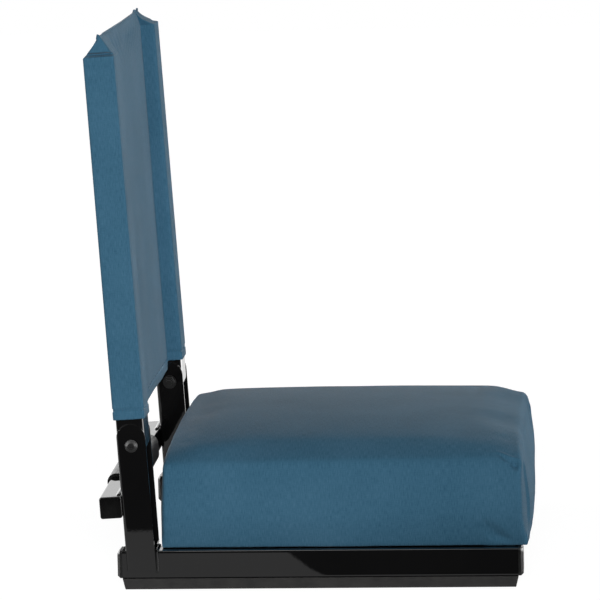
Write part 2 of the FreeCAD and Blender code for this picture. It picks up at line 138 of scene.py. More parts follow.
# %% Helpers for finishes
class Finish:
    """A material with one Principled shader, and short ways to add nodes to it."""

    def __init__(self, name, **sockets):
        self.material = bpy.data.materials.new(name)
        self.material.use_nodes = True
        self.nodes = self.material.node_tree.nodes
        self.links = self.material.node_tree.links
        self.shader = self.nodes["Principled BSDF"]
        for socket, value in sockets.items():
            self.shader.inputs[socket.replace("_", " ")].default_value = value
        print("finish", name)

    def add(self, kind, **values):
        node = self.nodes.new("ShaderNode" + kind)
        for key, value in values.items():
            if key in node.inputs:
                node.inputs[key].default_value = value
            else:
                setattr(node, key, value)
        return node

    def join(self, output, target):
        self.links.new(output, target)

    def noise(self, place, scale, detail=3.0, roughness=0.5):
        """Noise at a scale in cycles per metre."""
        node = self.add("TexNoise", Scale=scale, Detail=detail, Roughness=roughness)
        self.join(place, node.inputs["Vector"])
        return node.outputs["Fac"]

    def calculate(self, operation, *values):
        """A Math node on outputs and plain numbers."""
        node = self.add("Math", operation=operation)
        for socket, value in zip(node.inputs, values):
            if isinstance(value, float):
                socket.default_value = value
            else:
                self.join(value, socket)
        return node.outputs["Value"]

    def paint(self, factor, stops):
        """Base colour from a ramp with (place, colour) stops."""
        node = self.add("ValToRGB")
        points = node.color_ramp.elements
        while len(points) < len(stops):
            points.new(0.5)
        for point, (place, colour) in zip(points, stops):
            point.position = place
            point.color = (*colour, 1)
        self.join(factor, node.inputs["Fac"])
        self.join(node.outputs["Color"], self.shader.inputs["Base Color"])

    def dull(self, factor, low, high):
        """Roughness spread from low to high."""
        node = self.add("MapRange")
        node.inputs["To Min"].default_value = low
        node.inputs["To Max"].default_value = high
        self.join(factor, node.inputs["Value"])
        self.join(node.outputs["Result"], self.shader.inputs["Roughness"])

    def bump(self, height, depth, strength, normal=None):
        """Relief of a depth in metres, on top of another relief if its normal is given."""
        node = self.add("Bump", Distance=depth, Strength=strength)
        self.join(height, node.inputs["Height"])
        if normal:
            self.join(normal, node.inputs["Normal"])
        self.join(node.outputs["Normal"], self.shader.inputs["Normal"])
        return node.outputs["Normal"]

    def object_place(self):
        """The place on the object, in metres."""
        return self.add("TexCoord").outputs["Object"]


# %% [markdown]
# The frame is steel under gloss black powder coat. Powder flows out with a faint orange-peel skin.


# %% Gloss black powder coat
def gloss_black():
    finish = Finish("gloss_black_coat", IOR=1.5, Specular_IOR_Level=0.5)
    place = finish.object_place()
    peel = finish.noise(place, 420, 2.0)
    drift = finish.noise(place, 9, 4.0)
    finish.paint(drift, [(0.3, (0.0035, 0.0035, 0.0037)), (0.75, (0.0058, 0.0058, 0.006))])
    finish.dull(drift, 0.02, 0.05)
    flow = finish.noise(place, 55, 1.0)
    waves = finish.bump(flow, 0.05 * MM, 0.6)
    finish.bump(peel, 0.03 * MM, 0.3, waves)
    return finish.material


coat = gloss_black()

# %% [markdown]
# Bolts, nuts and screws are black-oxide steel: a little greyer than the coat, satin, and rubbed
# brighter where a spanner or a key has touched them.


# %% Black hardware
def black_hardware():
    finish = Finish("black_oxide_steel", Metallic=0.35)
    place = finish.object_place()
    rub = finish.noise(place, 900, 5.0, 0.65)
    finish.paint(rub, [(0.35, (0.014, 0.014, 0.014)), (0.75, (0.04, 0.04, 0.04))])
    finish.dull(rub, 0.38, 0.55)
    finish.bump(rub, 0.02 * MM, 0.5)
    return finish.material


hardware = black_hardware()

# %% [markdown]
# The end caps and plugs are moulded plastic with a fine spark-eroded grain, so they look greyer and
# softer than the coat beside them.


# %% Moulded plastic
def cap_plastic():
    finish = Finish("cap_plastic", IOR=1.48, Specular_IOR_Level=0.3)
    place = finish.object_place()
    grain = finish.noise(place, 2600, 2.0)
    scuff = finish.noise(place, 70, 5.0, 0.6)
    finish.paint(scuff, [(0.3, (0.007, 0.007, 0.007)), (0.8, (0.016, 0.016, 0.016))])
    finish.dull(scuff, 0.32, 0.5)
    finish.bump(grain, 0.05 * MM, 0.4)
    return finish.material


plastic = cap_plastic()


# %% [markdown]
# The plugs in the handle bar are the same moulding, but polished by hands, so they are nearly as
# black as the coat.


# %% Polished plastic
def polished_plastic():
    finish = Finish("polished_plastic", IOR=1.48)
    haze = finish.noise(finish.object_place(), 90, 4.0)
    finish.paint(haze, [(0.3, (0.003, 0.003, 0.003)), (0.8, (0.006, 0.006, 0.006))])
    finish.dull(haze, 0.1, 0.22)
    return finish.material


polished = polished_plastic()

# %% [markdown]
# The runners are extruded rubber. Extrusion leaves faint lines along their length, and rubber is dull
# and a little dusty, so it reads as dark grey rather than black.


# %% Runner rubber
def runner_rubber():
    finish = Finish("runner_rubber", IOR=1.5, Specular_IOR_Level=0.35)
    place = finish.object_place()
    along = finish.add("Mapping")
    along.inputs["Scale"].default_value = (1, 0.02, 1)
    finish.join(place, along.inputs["Vector"])
    lines = finish.noise(along.outputs["Vector"], 700, 3.0)
    dust = finish.noise(place, 60, 6.0, 0.7)
    finish.paint(dust, [(0.3, (0.022, 0.022, 0.022)), (0.75, (0.044, 0.043, 0.042))])
    finish.dull(dust, 0.5, 0.72)
    finish.bump(lines, 0.12 * MM, 0.6)
    return finish.material


rubber = runner_rubber()

# %% [markdown]
# The grip is foamed rubber with closed cells, so close up it is pitted, and it stays very dark.


# %% Foamed grip
def grip_foam():
    finish = Finish("grip_foam", Specular_IOR_Level=0.3)
    place = finish.object_place()
    cells = finish.add("TexVoronoi", Scale=1100.0)
    finish.join(place, cells.inputs["Vector"])
    wear = finish.noise(place, 40, 5.0)
    finish.paint(wear, [(0.3, (0.006, 0.006, 0.006)), (0.8, (0.014, 0.014, 0.014))])
    finish.dull(wear, 0.5, 0.75)
    finish.bump(cells.outputs["Distance"], 0.12 * MM, 0.7)
    return finish.material


grip = grip_foam()

# %% [markdown]
# The board under the cushion shows only from below. It is plywood: long grain lines on its faces.


# %% Plywood
def plywood():
    finish = Finish("plywood", Specular_IOR_Level=0.3)
    place = finish.object_place()
    along = finish.add("Mapping")
    along.inputs["Scale"].default_value = (0.06, 1, 1)
    finish.join(place, along.inputs["Vector"])
    grain = finish.noise(along.outputs["Vector"], 240, 6.0, 0.65)
    finish.paint(grain, [(0.3, (0.42, 0.27, 0.14)), (0.55, (0.56, 0.4, 0.23)), (0.8, (0.66, 0.5, 0.32))])
    finish.dull(grain, 0.6, 0.8)
    finish.bump(grain, 0.15 * MM, 0.5)
    return finish.material


board = plywood()

# %% [markdown]
# The cloth is a plain weave of blue polyester with a warm shine: seen along the surface it turns grey.
# Its pattern follows the cloth, so it reads a UV map named cloth, whose unit is one metre. Two waves
# make the threads, and two stretched noises make single threads thicker and lighter than others.

# %% Blue woven cloth
THREAD = 0.6 * MM
SLUB_MIX = 0.3  # share of the thick threads that run the other way
DRIFT_SHARE = 0.35  # how much the slow drift of the dye counts beside the threads
WAVE_PERIOD = 2 * math.pi / 20  # length of one band of Blender's wave texture at scale 1
CLOTH_DARK = (0.028, 0.092, 0.150)
CLOTH_MAIN = (0.046, 0.128, 0.203)
CLOTH_LIGHT = (0.066, 0.160, 0.245)


def blue_cloth():
    finish = Finish("blue_woven_cloth", Roughness=0.9, Specular_IOR_Level=0.01, Sheen_Weight=0.11,
                    Sheen_Roughness=0.38, Sheen_Tint=(0.97, 0.93, 0.87, 1))
    cloth = finish.add("UVMap", uv_map="cloth").outputs["UV"]
    threads = []
    for way in ("X", "Y"):
        wave = finish.add("TexWave", bands_direction=way, Scale=WAVE_PERIOD / THREAD, Distortion=0.6)
        finish.join(cloth, wave.inputs["Vector"])
        threads.append(wave.outputs["Fac"])
    weave = finish.calculate("MULTIPLY", *threads)
    slubs = []
    for stretch in ((1500, 150, 1), (180, 1500, 1)):
        stretched = finish.add("Mapping")
        stretched.inputs["Scale"].default_value = stretch
        finish.join(cloth, stretched.inputs["Vector"])
        slubs.append(finish.noise(stretched.outputs["Vector"], 1.0, 2.0, 0.6))
    slub = finish.add("Mix", data_type="FLOAT")
    slub.inputs["Factor"].default_value = SLUB_MIX
    finish.join(slubs[0], slub.inputs["A"])
    finish.join(slubs[1], slub.inputs["B"])
    drift = finish.noise(finish.object_place(), 14, 4.0)
    tone = finish.calculate("MULTIPLY_ADD", drift, DRIFT_SHARE, slub.outputs["Result"])
    finish.paint(tone, [(0.45, CLOTH_DARK), (0.68, CLOTH_MAIN), (0.92, CLOTH_LIGHT)])
    slub_normal = finish.bump(slub.outputs["Result"], 0.12 * MM, 0.5)
    finish.bump(weave, 0.08 * MM, 0.5, slub_normal)
    return finish.material


cloth = blue_cloth()

# %% [markdown]
# The hem is sewn with a twisted thread that is dyed like the cloth. A fine noise stands for its twist.


# %% Sewing thread
def sewing_thread():
    finish = Finish("sewing_thread", Roughness=0.7, Specular_IOR_Level=0.3)
    twist = finish.noise(finish.object_place(), 1500, 2.0)
    finish.paint(twist, [(0.35, (0.022, 0.075, 0.120)), (0.7, (0.045, 0.125, 0.190))])
    finish.bump(twist, 0.05 * MM, 0.5)
    return finish.material


cloth_thread = sewing_thread()

# %% [markdown]
# Each CAD node keeps its own mesh and only gets its finish. The record already says which slot a node
# belongs to, so the slot picks the finish.

# %% Finishes on the CAD nodes
SLOT_FINISH = {"frame_steel": coat, "dark_hardware": hardware, "cap_plastic": plastic,
               "runner_rubber": rubber, "grip_rubber": grip, "board_wood": board,
               "cushion_foam": cloth, "cover_fabric": cloth}
for part in frame["record"]["subparts"]:
    mesh = frame["nodes"][part["node"]].data
    mesh.materials.clear()
    is_plug = part["node"].startswith("handle_plug")
    mesh.materials.append(polished if is_plug else SLOT_FINISH[part["material_slot"]])
print("finished", len(frame["nodes"]), "CAD nodes")

# %% [markdown]
# New pieces are made in a bmesh and turned into an object at the origin, with their place in the mesh.


# %% Helpers for new pieces
def piece(name, bm, material, body, smooth=True):
    """A finished mesh object on a body, from a bmesh."""
    mesh = bpy.data.meshes.new(name)
    bm.to_mesh(mesh)
    bm.free()
    mesh.materials.append(material)
    for face in mesh.polygons:
        face.use_smooth = smooth
    made = bpy.data.objects.new(name, mesh)
    scene.collection.objects.link(made)
    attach(made, body)
    print(name, len(mesh.polygons), "faces on", body)
    return made


def share(value, start, end):
    """How far value is from start (0) to end (1), with a soft start and stop."""
    t = min(max((value - start) / (end - start), 0), 1)
    return t * t * (3 - 2 * t)


def bump_at(value, middle, half):
    """1 at the middle, falling softly to 0 at half a width on either side."""
    return 1 - share(abs(value - middle), 0, half)


# %% [markdown]
# Bare CAD edges are sharp, but on the uprights, the posts and the handle the coated edges catch the
# light. So each of these parts gets a copy whose loose triangles are joined into whole faces, and a
# bevel rounds its sharp edges. The rails stay as they are: their edges are dark in the picture.

# %% Rounded steel
STEEL_EDGE = 1.1 * MM
STEEL_MERGE = 0.01 * MM
FLAT_ANGLE = math.radians(1)
SHARP_ANGLE = math.radians(50)


def rounded_steel(node):
    """A coated copy of a CAD node, with round edges, that stands in its place."""
    bm = bmesh.new()
    bm.from_mesh(node.data)
    bmesh.ops.remove_doubles(bm, verts=bm.verts, dist=STEEL_MERGE)
    bmesh.ops.dissolve_limit(bm, angle_limit=FLAT_ANGLE, verts=bm.verts, edges=bm.edges)
    made = piece(node.name + "_coated", bm, coat, body_of(node)[0], smooth=False)
    soft = made.modifiers.new("rounded", "BEVEL")
    soft.width = STEEL_EDGE
    soft.segments = 3
    soft.limit_method = "ANGLE"
    soft.angle_limit = SHARP_ANGLE
    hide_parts(node.name)


for side in ("left", "right"):
    for name in ("upright_", "post_"):
        rounded_steel(frame["nodes"][name + side])
rounded_steel(frame["nodes"]["handle_bar"])

# %% [markdown]
# The cushion is foam on a board, wrapped in cloth that is pulled down over the edges. It is a block
# with round edges and a crown. The same block is also blown up as cloth with a short simulation, and
# the block's points then follow the cloth by a few millimetres, which keeps the edges fairly crisp.

# %% Cushion block
cushion_low, cushion_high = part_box("seat_cover")
SIDE_TOP = 75 * MM  # bottom of the cushion to the top of its side face
CROWN = 22.5 * MM  # how far the middle stands over the sides, before it is inflated
SWELL_POWER = 0.55
REAR_DROP = 3 * MM
FRONT_RISE = 2.5 * MM
FRONT_DROP = 5.5 * MM
FRONT_ROOM = 10 * MM  # the block starts this far inside the CAD cover
REAR_ROOM = 3 * MM
FRONT_BULGE = 3.5 * MM
REAR_BULGE = 2 * MM
BELLY = 0.5 * MM
SIDE_BELLY = 6 * MM
FRONT_BELLY = 5 * MM  # more belly at the front end of the sides
FRONT_BELLY_RUN = (-0.2, 0.9)  # share of the half length over which it grows
FRONT_FLARE = 3.2 * MM  # the foot of the front stands out
FLARE_TOP = 0.35  # share of the height at which that ends
EDGE_ROUND = 4.5 * MM
BOTTOM_ROUND = 1.6 * MM
CROWN_CORNER = 9 * MM
CORNER_DROP = {-1: 1.5 * MM, 1: 4.5 * MM}  # the front corners are pulled down, right and left
CORNER_REACH = (75 * MM, 40 * MM)  # from the corner, across and along the seat
CUSHION_CELL = 5 * MM
TOP_FACE = 0.93  # share of the height from which a point belongs to the top
END_FACE = 0.96  # share of the half length from which it belongs to the front or the rear
END_SOFT = 0.9  # and where their belly and flare begin
SIDE_FACE = 0.97  # share of the half width from which it belongs to a side
TOLERANCE = 0.1 * MM
SHARP_EDGE = 1.0  # least angle of a sharp edge, in radians

block_low = Vector((cushion_low.x, cushion_low.y + FRONT_ROOM, cushion_low.z))
block_high = Vector((cushion_high.x, cushion_high.y - REAR_ROOM, cushion_low.z + SIDE_TOP))
block_size = block_high - block_low
block_middle = (block_low + block_high) / 2


def bevel(bm, geom, radius, segments, affect="EDGES"):
    """Round off edges or corners."""
    bmesh.ops.bevel(bm, geom=geom, offset=radius, offset_type="OFFSET", affect=affect,
                    segments=segments, profile=0.5, material=-1)


def cushion_block():
    """The crowned block as a net of small faces."""
    bm = bmesh.new()
    bmesh.ops.create_cube(bm, size=1)
    bmesh.ops.scale(bm, verts=bm.verts, vec=block_size)
    bmesh.ops.translate(bm, verts=bm.verts, vec=block_middle)
    upper = [e for e in bm.edges if max(v.co.z for v in e.verts) > block_middle.z]
    bevel(bm, upper, EDGE_ROUND, 4)
    lower = [e for e in bm.edges
             if max(v.co.z for v in e.verts) < block_low.z + TOLERANCE
             and len(e.link_faces) == 2 and e.calc_face_angle() > SHARP_EDGE]
    bevel(bm, lower, BOTTOM_ROUND, 2)
    for axis in range(3):
        cuts = round(block_size[axis] / CUSHION_CELL)
        long_edges = [e for e in bm.edges
                      if abs(e.verts[0].co[axis] - e.verts[1].co[axis]) > block_size[axis] / 2]
        bmesh.ops.subdivide_edges(bm, edges=long_edges, cuts=cuts, use_grid_fill=True)
    for vert in bm.verts:
        vert.co = crowned(vert.co)
    return bm


def rounded_off(reach, radius):
    """How far a round corner lies inside its square one, at a reach from the corner's face."""
    if reach >= radius or radius <= 0:
        return 0
    return radius - math.sqrt(radius ** 2 - (radius - max(reach, 0)) ** 2)


def crowned(place):
    """A point of the plain block, moved to the crowned form."""
    x, y, z = place
    full = max(0, 1 - (x / block_high.x) ** 2) ** SWELL_POWER
    along = (y - block_middle.y) / block_size.y * 2
    height = (z - block_low.z) / block_size.z
    sag = REAR_DROP if along > 0 else FRONT_DROP * full - FRONT_RISE * (1 - full)
    at_side = share(abs(x), block_high.x - CORNER_REACH[0], block_high.x)
    at_front = 1 - share(y - block_low.y, 0, CORNER_REACH[1])
    drop = CORNER_DROP[1 if x > 0 else -1] * at_side * at_front
    top = SIDE_TOP + CROWN * full - sag * along ** 2 - drop
    front = block_low.y - FRONT_BULGE * full
    rear = block_high.y + REAR_BULGE * full
    y = front + (rear - front) * (along + 1) / 2
    belly = BELLY * full * (2 * height - 1) ** 2 * share(abs(along), END_SOFT, 1)
    corner = CROWN_CORNER * full
    on_top = share(height, TOP_FACE, 1)
    fall = rounded_off(min(y - front, rear - y), corner) * on_top
    pull = rounded_off((1 - height) * top, corner) * share(abs(along), END_FACE, 1) * (1 - on_top)
    y -= math.copysign(belly + pull, along)
    y -= FRONT_FLARE * (1 - share(height, 0, FLARE_TOP)) * share(-along, END_SOFT, 1)
    bulge = SIDE_BELLY + FRONT_BELLY * share(-along, *FRONT_BELLY_RUN)
    x += math.copysign(bulge, x) * 4 * height * (1 - height) * share(abs(x) / block_high.x, SIDE_FACE, 1)
    return Vector((x, y, block_low.z + height * top - fall))


print("cushion block", [round(v, 3) for v in block_size], "m")

# %% [markdown]
# Blender's cloth swells under pressure from inside. The bottom is held as if stapled to the board, and
# no point may move further than a cap, so the form stays the block's.

# %% Inflate the cushion
CUSHION_PRESSURE = 4.0
CUSHION_CAP = 4 * MM
VOXEL = 6 * MM
LAST_FRAME = 20
FOLLOWED_POINTS = 48


def remeshed(bm, voxel):
    """The same closed form as an even net of small faces."""
    mesh = bpy.data.meshes.new("net")
    bm.to_mesh(mesh)
    bm.free()
    holder = bpy.data.objects.new("net", mesh)
    scene.collection.objects.link(holder)
    remesh = holder.modifiers.new("net", "REMESH")
    remesh.mode = "VOXEL"
    remesh.voxel_size = voxel
    shown = holder.evaluated_get(bpy.context.evaluated_depsgraph_get())
    net = bpy.data.meshes.new_from_object(shown)
    bpy.data.objects.remove(holder)
    return net


def swelling(mesh, held_below, pressure, cap):
    """How far each point of the mesh moves in a short cloth simulation."""
    holder = bpy.data.objects.new("swelling", mesh)
    scene.collection.objects.link(holder)
    group = holder.vertex_groups.new(name="held")
    group.add([v.index for v in mesh.vertices if v.co.z < held_below], 1.0, "REPLACE")
    modifier = holder.modifiers.new("cloth", "CLOTH")
    settings = modifier.settings
    settings.vertex_group_mass = "held"
    settings.use_pressure = True
    settings.uniform_pressure_force = pressure
    settings.effector_weights.gravity = 0
    settings.quality = 4
    settings.tension_stiffness = 18
    settings.compression_stiffness = 18
    settings.shear_stiffness = 8
    settings.bending_stiffness = 0.8
    settings.shrink_min = -0.012
    for number in range(1, LAST_FRAME + 1):
        scene.frame_set(number)
    shown = holder.evaluated_get(bpy.context.evaluated_depsgraph_get())
    moves = []
    for before, after in zip(mesh.vertices, shown.data.vertices):
        move = after.co - before.co
        if move.length > cap:
            move.length = cap
        moves.append(move)
    scene.frame_set(1)
    bpy.data.objects.remove(holder)
    print("swells by up to", round(max(m.length for m in moves) / MM, 1), "mm")
    return moves


skin = cushion_block()
net = remeshed(cushion_block(), VOXEL)
moves = swelling(net, block_low.z + EDGE_ROUND, CUSHION_PRESSURE, CUSHION_CAP)
tree = KDTree(len(net.vertices))
for vert in net.vertices:
    tree.insert(vert.co, vert.index)
tree.balance()
for vert in skin.verts:
    near = tree.find_n(vert.co, FOLLOWED_POINTS)
    vert.co += sum((moves[index] for _, index, _ in near), Vector()) / len(near)

# %% [markdown]
# At the two front corners the cloth is folded in. There the net is made finer, and each fold is a
# groove or a ridge at its own distance from the corner: a dimple under the corner, an arc on the top,
# an upright pleat on the front, and a short crease where the cloth is tucked under the board.
# Where a groove would cut into the board, its points are put back just outside it.

# %% Corner folds
FOLD_ZONE = (48 * MM, 34 * MM)  # across and along the seat, from the corner
FOLD_CELL = 3 * MM  # longer edges are cut in three there
SIDE_FOLDS = 4 * MM  # how close to the side or to the top their folds lie
FRONT_FOLDS = 6 * MM  # and how close to the front its pleat lies
DIMPLE_BEHIND = 6 * MM
DIMPLE_UNDER = 4 * MM
DIMPLE_RADIUS = 6.5 * MM
DIMPLE_DEPTH = 4.5 * MM
ARC_LENGTH = 25 * MM
ARC_INWARD = 14 * MM
ARC_POWER = 1.5
ARC_FADE = 0.6  # share of its length from which it fades
ARC_DEPTH = 2.4 * MM
ARC_GROOVE = (-1 * MM, 3 * MM)  # place beside the arc, half width
ARC_RIDGE = (2 * MM, 3.5 * MM)
ARC_RIDGE_SHARE = 0.7
PLEAT_INWARD = 34 * MM
PLEAT_WANDER = 2.5 * MM
PLEAT_WAVES = 30  # per metre
PLEAT_DEPTH = 2.4 * MM
PLEAT_GROOVE = (0, 4 * MM)  # place beside the pleat, half width
PLEAT_RIDGE = (-9 * MM, 8 * MM)
PLEAT_STARTS = (0, 12 * MM)  # under the top, where it comes and where it goes
PLEAT_ENDS = (52 * MM, 72 * MM)
TUCK_BEHIND = 15 * MM
TUCK_SLANT = 0.85
TUCK_STARTS = (1 * MM, 9 * MM)  # over the bottom
TUCK_LENGTH = 32 * MM
TUCK_DEPTH = 2.6 * MM
TUCK_HALF = 14 * MM
BOARD_WRAP = 0.5 * MM  # least cloth outside the board
WRAP_REACH = 6 * MM  # how deep a groove is put back

board_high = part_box("seat_board")[1]
corner_top = block_low.z + SIDE_TOP + FRONT_RISE


def corner_fold(place):
    """How far a point near a front corner moves along its normal."""
    inward = block_high.x - abs(place.x)
    behind = place.y - block_low.y
    under = corner_top - place.z
    over = place.z - block_low.z
    move = 0
    if inward < SIDE_FOLDS:
        reach = math.hypot(behind - DIMPLE_BEHIND, under - DIMPLE_UNDER)
        move -= DIMPLE_DEPTH * (1 - share(reach, 0, DIMPLE_RADIUS))
        slant = (behind - TUCK_BEHIND) - TUCK_SLANT * over
        starts = share(over, *TUCK_STARTS)
        ends = 1 - share(over, TUCK_STARTS[1], TUCK_LENGTH)
        move -= TUCK_DEPTH * bump_at(slant, 0, TUCK_HALF) * starts * ends
    if under < SIDE_FOLDS and behind > 0:
        beside = inward - ARC_INWARD * (behind / ARC_LENGTH) ** ARC_POWER
        fade = 1 - share(behind, ARC_FADE * ARC_LENGTH, ARC_LENGTH)
        ridge = ARC_RIDGE_SHARE * bump_at(beside, *ARC_RIDGE)
        move += ARC_DEPTH * fade * (ridge - bump_at(beside, *ARC_GROOVE))
    if behind < FRONT_FOLDS and under > 0:
        wander = PLEAT_WANDER * noise.noise((0, place.z * PLEAT_WAVES, 5))
        beside = inward - PLEAT_INWARD - wander
        fade = share(under, *PLEAT_STARTS) * (1 - share(under, *PLEAT_ENDS))
        move += PLEAT_DEPTH * fade * (bump_at(beside, *PLEAT_RIDGE) - bump_at(beside, *PLEAT_GROOVE))
    return move


def in_fold_zone(place):
    """Whether a point lies near a front corner."""
    return abs(place.x) > block_high.x - FOLD_ZONE[0] and place.y < block_low.y + FOLD_ZONE[1]


fold_edges = [e for e in skin.edges
              if all(in_fold_zone(v.co) for v in e.verts) and e.calc_length() > FOLD_CELL]
bmesh.ops.subdivide_edges(skin, edges=fold_edges, cuts=2, use_grid_fill=True)
skin.normal_update()
folds = [(v, v.normal * corner_fold(v.co)) for v in skin.verts if in_fold_zone(v.co)]
for vert, move in folds:
    vert.co += move
board_side = board_high.x + BOARD_WRAP
for vert in skin.verts:
    at_board = vert.co.z < board_high.z + BOARD_WRAP
    if at_board and board_side - WRAP_REACH < abs(vert.co.x) < board_side:
        vert.co.x = math.copysign(board_side, vert.co.x)
print(len(folds), "points in the corner folds")

# %% [markdown]
# The finished net becomes one piece. Each face takes its weave from the two directions that it lies in,
# so the threads run along and across the seat, and one level of subdivision rounds the net.

# %% Cushion piece
skin.normal_update()
cloth_uv = skin.loops.layers.uv.new("cloth")
for face in skin.faces:
    n = face.normal
    for loop in face.loops:
        x, y, z = loop.vert.co
        if abs(n.x) > max(abs(n.y), abs(n.z)):
            loop[cloth_uv].uv = (y, z)
        elif abs(n.z) > abs(n.y):
            loop[cloth_uv].uv = (y, x)
        else:
            loop[cloth_uv].uv = (z, x)
cushion = piece("seat_cushion", skin, cloth, "base")
fine = cushion.modifiers.new("fine", "SUBSURF")
fine.levels = fine.render_levels = 1
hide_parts("seat_cover", "seat_foam")

# %% [markdown]
# The backrest cover is sewn like a pillowcase: a back sheet, a sleeve round each post and a front sheet
# that lies further back than the sleeves. Its plan is an outline with eight corners. The outline is
# drawn once, its corners are rounded, and it is extruded ring by ring from the hem to the top.

# %% Cover outline
sleeve_low, sleeve_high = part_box("back_sleeve_left")
COVER_HALF = sleeve_high.x
SLEEVE_INNER = sleeve_low.x
COVER_BACK = 14.9 * MM
COVER_FRONT = -14.3 * MM
SHEET_FRONT = 0.5 * MM
COVER_CORNER = 3 * MM
HEM_RISE = 24 * MM
HEM_WIDTH = 8.5 * MM
SHOULDER_RISE = 350 * MM
RIDGE_RISE = 366.7 * MM
COVER_STEP = 3.4 * MM
FOLD_STEP = 1.9 * MM
CREASE_STEP = 0.5 * MM
RIDGE_STEP = 1.2 * MM
HEM_STEP = 0.15 * HEM_WIDTH
HEM_PART = 1.4 * HEM_WIDTH  # the rings lie close together up to here
FOLDS_BELOW = 28 * MM  # the folds start this far below the shoulder
CREASE_BELOW = 2 * MM  # and the crease lies between these distances from it
CREASE_ABOVE = 5 * MM


def spaced(start, end, step):
    """Values from start to end, about a step apart."""
    count = max(1, round((end - start) / step))
    return [start + (end - start) * i / count for i in range(count + 1)]


def cover_rises():
    """Heights of the rings: close together at the hem, the shoulder and the ridge."""
    hem = spaced(HEM_RISE, HEM_RISE + HEM_PART, HEM_STEP)
    side = spaced(hem[-1], SHOULDER_RISE - FOLDS_BELOW, COVER_STEP)
    folded = spaced(side[-1], SHOULDER_RISE - CREASE_BELOW, FOLD_STEP)
    shoulder = spaced(folded[-1], SHOULDER_RISE + CREASE_ABOVE, CREASE_STEP)
    top = spaced(shoulder[-1], RIDGE_RISE, RIDGE_STEP)
    return hem + side[1:] + folded[1:] + shoulder[1:] + top[1:]


def cover_rings():
    """Rings of the cover from hem to ridge, drawn upright: x across, y back, z rise."""
    bm = bmesh.new()
    half = [(COVER_HALF, COVER_BACK), (COVER_HALF, COVER_FRONT), (SLEEVE_INNER, COVER_FRONT),
            (SLEEVE_INNER, SHEET_FRONT)]
    corners = half + [(-x, back) for x, back in reversed(half)]
    bm.faces.new([bm.verts.new((x, back, HEM_RISE)) for x, back in corners])
    bevel(bm, bm.verts[:], COVER_CORNER, 4, affect="VERTICES")
    for edge in [e for e in bm.edges if e.calc_length() > 2 * COVER_STEP]:
        bmesh.ops.subdivide_edges(bm, edges=[edge], cuts=round(edge.calc_length() / COVER_STEP) - 1)
    around = bm.verts.layers.float.new("around")
    drawn = bm.verts.layers.float.new("drawn_rise")
    bm.faces.ensure_lookup_table()
    run = 0.0
    for loop in bm.faces[0].loops:
        loop.vert[around] = run
        run += loop.edge.calc_length()
    ring = bm.edges[:]
    bmesh.ops.delete(bm, geom=bm.faces[:], context="FACES_ONLY")
    rises = cover_rises()
    for below, rise in zip(rises, rises[1:]):
        made = bmesh.ops.extrude_edge_only(bm, edges=ring)["geom"]
        new = {g for g in made if isinstance(g, bmesh.types.BMVert)}
        bmesh.ops.translate(bm, verts=list(new), vec=(0, 0, rise - below))
        ring = [g for g in made if isinstance(g, bmesh.types.BMEdge) and set(g.verts) <= new]
    for vert in bm.verts:
        vert[drawn] = vert.co.z
    bmesh.ops.recalc_face_normals(bm, faces=bm.faces[:])
    return bm, around, drawn, run


cover_bm, around_layer, drawn_layer, cover_round = cover_rings()
print("cover net", len(cover_bm.verts), "points,", round(cover_round, 3), "m round")

# %% [markdown]
# The straight tube of cloth now gets its shape. Above the posts it is drawn together to a sewn ridge
# and drawn in at both ends. Just over the top of each post it is tucked in on the outside, which leaves
# a dark crease, and the front has slanting folds under the ridge, because there is more cloth than seam.
# The hem and the edges of the sleeves are sewn down, so there the cloth lies a little deeper.

# %% Cover shape
RIDGE_INSET = {-1: 6 * MM, 1: 29 * MM}  # how far the ridge ends inside the sleeves, right and left
RIDGE_TILT = 2.3 * MM
RIDGE_SHIFT = 3.5 * MM  # the left end of the ridge lies further back
HIP = {-1: 0.8, 1: 2.0}  # how hollow the front hips are, right and left
REAR_HIP = 1.25
CREASE_RISE = 2.4 * MM
CREASE_DEPTH = 6.5 * MM
CREASE_HALF = 2.1 * MM
CREASE_RUN = (10 * MM, 2 * MM)  # from the outer wall, where the crease starts and is full
EAR = 1.6 * MM  # the seam's end sticks up
EAR_HALF = 3 * MM
NOTCH = 34 * MM  # from the end of the ridge to a second tip
NOTCH_HALF = 4 * EAR_HALF
SECOND_TIP = 1.4
SECOND_HALF = 5 * EAR_HALF
RIDGE_PULL = 30 * MM  # from the sleeve inwards, how much of the ridge is drawn in
SLEEVE_TAPER = 0.9 * MM
SLEEVE_TURN = (4 * MM, 1 * MM)  # from the sleeve inwards, where the front sheet ends
LOOSE_END = (12 * MM, 5 * MM)  # from the outer wall, where the cloth over the shoulder is held
SHEET_HEM_DROP = 8 * MM
FAR_HEM_DROP = 3 * MM
HEM_DROP_END = 0.3  # share of the height at which the drop of the hem ends
FOLD_ACROSS = (130 * MM, 110 * MM)  # from the outer wall, middle of the folds and their half width
FOLD_DOWN = (18 * MM, 27 * MM)  # the same, down from the ridge
FOLD_DEPTH = 1.5 * MM
FOLD_PERIOD = 10 * MM
FOLD_SLANT = math.radians(26)
FOLD_WANDER = 0.3  # share of the period
FOLD_SHARPNESS = 1.5
SHEET_RIPPLE = 0.7 * MM
SEAM_DEPTH = 0.9 * MM
CLOTH_THICK = 1.0 * MM


def slanting_folds(x, rise):
    """Height of the folds that run down and inwards from the ridge."""
    inward = COVER_HALF - abs(x)
    fall = RIDGE_RISE - rise
    across = inward * math.sin(FOLD_SLANT) - fall * math.cos(FOLD_SLANT)
    wander = FOLD_WANDER * FOLD_PERIOD * noise.noise((x * 25, rise * 25, 3))
    fade = bump_at(inward, *FOLD_ACROSS) * bump_at(fall, *FOLD_DOWN)
    crest = 1 - abs(math.sin(math.pi * (across + wander) / FOLD_PERIOD))
    return FOLD_DEPTH * fade * crest ** FOLD_SHARPNESS


